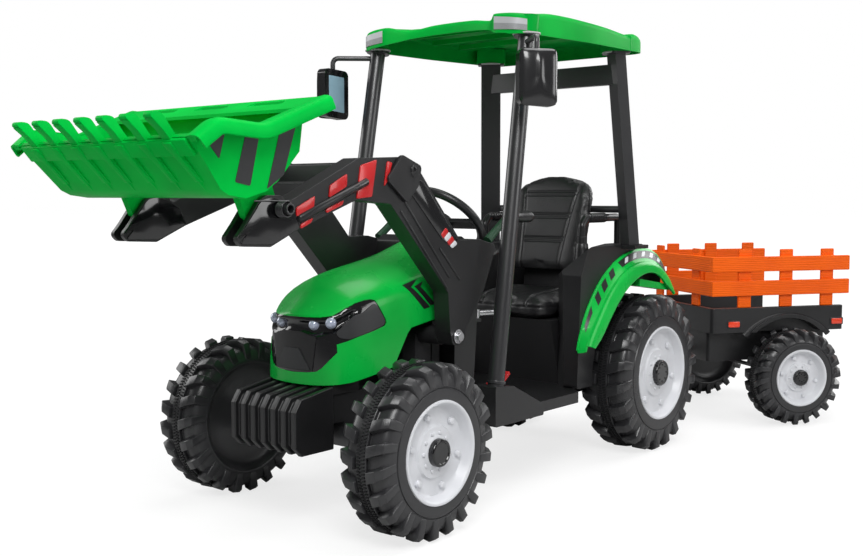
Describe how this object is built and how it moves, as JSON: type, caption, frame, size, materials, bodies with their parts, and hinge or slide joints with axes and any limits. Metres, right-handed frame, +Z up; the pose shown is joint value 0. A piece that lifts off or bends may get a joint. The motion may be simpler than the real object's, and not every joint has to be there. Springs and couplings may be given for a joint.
{
  "type": "ride-on tractor",
  "caption": "Child's ride-on tractor with a roofed open cab, hand-worked front loader and bucket, steered front wheels and a hitched fenced trailer.",
  "frame": {"origin": "centre of the object's box, on the ground", "axes": "+Z up, the tractor faces -Y, +X is the tractor's left side"},
  "size_m": [0.8458, 2.4814, 1.066],
  "materials": {
    "black": "black moulding with a soft sheen",
    "dark_green": "dark green bar with a black grip",
    "gloss_black": "gloss black moulding",
    "green": "smooth green moulding",
    "lamp": "clear lamp lens over silver",
    "leather": "black leatherette",
    "orange": "orange moulding with wood grain",
    "red": "red moulding",
    "reflector": "silver reflector",
    "steel": "plain steel",
    "tube": "black powder coat",
    "tyre": "blow-moulded black plastic",
    "white": "white moulding"
  },
  "bodies": {
    "tractor": {"front_axle": "tube", "chassis": "black", "loader_bolts": "steel", "rear_axle": "steel", "drive_units": "black", "front_posts": "tube", "rear_posts": "tube", "cross_bars": "tube", "roof": "green", "roof_reflectors": "reflector", "rear_body": "black", "fender_left": "green", "fender_right": "green", "battery": "black", "seat_cushion": "leather", "seat_back": "leather", "seat_box": "black", "armrests": "black", "hood": "green", "grille_mask": "gloss_black", "head_lamps": "lamp", "front_weight": "black", "dash": "black", "foot_deck": "black", "mirror_arms": "tube", "hitch": "black"},
    "steering": {"steering_wheel": "black", "steering_shaft": "steel"},
    "knuckle_left": {"knuckle_left": "tube"},
    "knuckle_right": {"knuckle_right": "tube"},
    "tie_rod": {"tie_rod": "steel"},
    "loader": {"loader_arm_left": "black", "loader_arm_right": "black", "cross_beam": "black", "elbow_caps": "black", "loader_levers": "dark_green", "bucket_pins": "steel", "bucket_springs": "steel"},
    "bucket": {"bucket": "green"},
    "pedal": {"pedal": "red"},
    "gear_lever": {"gear_lever": "steel"},
    "start_button": {"start_button": "red"},
    "mirror_left": {"mirror_left": "gloss_black"},
    "mirror_right": {"mirror_right": "gloss_black"},
    "trailer": {"trailer_bed": "black", "trailer_fence": "orange", "trailer_frame": "tube", "trailer_reflectors": "red"},
    "front_left_wheel": {"front_left_tyre": "tyre", "front_left_rim": "white"},
    "front_right_wheel": {"front_right_tyre": "tyre", "front_right_rim": "white"},
    "rear_left_wheel": {"rear_left_tyre": "tyre", "rear_left_rim": "white"},
    "rear_right_wheel": {"rear_right_tyre": "tyre", "rear_right_rim": "white"},
    "trailer_left_wheel": {"trailer_left_tyre": "tyre", "trailer_left_rim": "white"},
    "trailer_right_wheel": {"trailer_right_tyre": "tyre", "trailer_right_rim": "white"}
  },
  "joints": [
    {"name": "steering", "type": "hinge", "parent": "tractor", "child": "steering", "pos_m": [-0.09093, -0.28922, 0.596], "axis": [0, 0.6947, 0.7193], "range_deg": [-25, 25]},
    {"name": "knuckle_left", "type": "hinge", "parent": "tractor", "child": "knuckle_left", "pos_m": [0.07407, -0.68933, 0.17], "axis": [0, 0, 1], "range_deg": [-26, 26]},
    {"name": "front_left_spin", "type": "hinge", "parent": "knuckle_left", "child": "front_left_wheel", "pos_m": [0.18007, -0.68933, 0.17], "axis": [1, 0, 0], "continuous": true},
    {"name": "rear_left_spin", "type": "hinge", "parent": "tractor", "child": "rear_left_wheel", "pos_m": [0.12857, 0.25667, 0.2], "axis": [1, 0, 0], "continuous": true},
    {"name": "trailer_left_spin", "type": "hinge", "parent": "trailer", "child": "trailer_left_wheel", "pos_m": [0.31622, 0.80316, 0.137], "axis": [0.83, -0.5577, 0], "continuous": true},
    {"name": "mirror_left_swivel", "type": "hinge", "parent": "tractor", "child": "mirror_left", "pos_m": [0.20907, -0.34633, 0.9], "axis": [0, 0, 1], "range_deg": [-15, 15]},
    {"name": "knuckle_right", "type": "hinge", "parent": "tractor", "child": "knuckle_right", "pos_m": [-0.25593, -0.68933, 0.17], "axis": [0, 0, 1], "range_deg": [-26, 26]},
    {"name": "front_right_spin", "type": "hinge", "parent": "knuckle_right", "child": "front_right_wheel", "pos_m": [-0.36193, -0.68933, 0.17], "axis": [1, 0, 0], "continuous": true},
    {"name": "rear_right_spin", "type": "hinge", "parent": "tractor", "child": "rear_right_wheel", "pos_m": [-0.31043, 0.25667, 0.2], "axis": [1, 0, 0], "continuous": true},
    {"name": "trailer_right_spin", "type": "hinge", "parent": "trailer", "child": "trailer_right_wheel", "pos_m": [-0.10543, 1.0865, 0.137], "axis": [0.83, -0.5577, 0], "continuous": true},
    {"name": "mirror_right_swivel", "type": "hinge", "parent": "tractor", "child": "mirror_right", "pos_m": [-0.39093, -0.34633, 0.9], "axis": [0, 0, 1], "range_deg": [-15, 15]},
    {"name": "tie_rod", "type": "hinge", "parent": "knuckle_left", "child": "tie_rod", "pos_m": [0.07407, -0.62333, 0.155], "axis": [0, 0, 1], "range_deg": [-26, 26]},
    {"name": "loader_lift", "type": "hinge", "parent": "tractor", "child": "loader", "pos_m": [-0.09093, -0.46333, 0.357], "axis": [1, 0, 0], "range_deg": [-8, 48]},
    {"name": "bucket_tilt", "type": "hinge", "parent": "loader", "child": "bucket", "pos_m": [-0.09093, -0.96333, 0.631], "axis": [1, 0, 0], "range_deg": [0, 35], "stiffness_Nm_per_rad": 3, "springref_deg": -91.67},
    {"name": "pedal_press", "type": "hinge", "parent": "tractor", "child": "pedal", "pos_m": [-0.09093, -0.22733, 0.204], "axis": [1, 0, 0], "range_deg": [-14, 0], "stiffness_Nm_per_rad": 1, "springref_deg": 20.05},
    {"name": "gear_shift", "type": "hinge", "parent": "tractor", "child": "gear_lever", "pos_m": [0.00707, -0.29283, 0.386], "axis": [0, 0, 1], "range_deg": [-12, 12]},
    {"name": "start_press", "type": "slide", "parent": "tractor", "child": "start_button", "axis": [0, -1, 0], "range_m": [0, 0.003], "stiffness_N_per_m": 300, "springref_m": -0.003},
    {"name": "hitch_yaw", "type": "hinge", "parent": "tractor", "child": "trailer", "pos_m": [-0.09093, 0.65267, 0.185], "axis": [0, 0, 1], "range_deg": [-11, 79]}
  ],
  "couplings": [
    {"joint": "knuckle_left", "follows": "steering", "ratio": 1},
    {"joint": "knuckle_right", "follows": "steering", "ratio": 1},
    {"joint": "tie_rod", "follows": "steering", "ratio": -1}
  ]
}
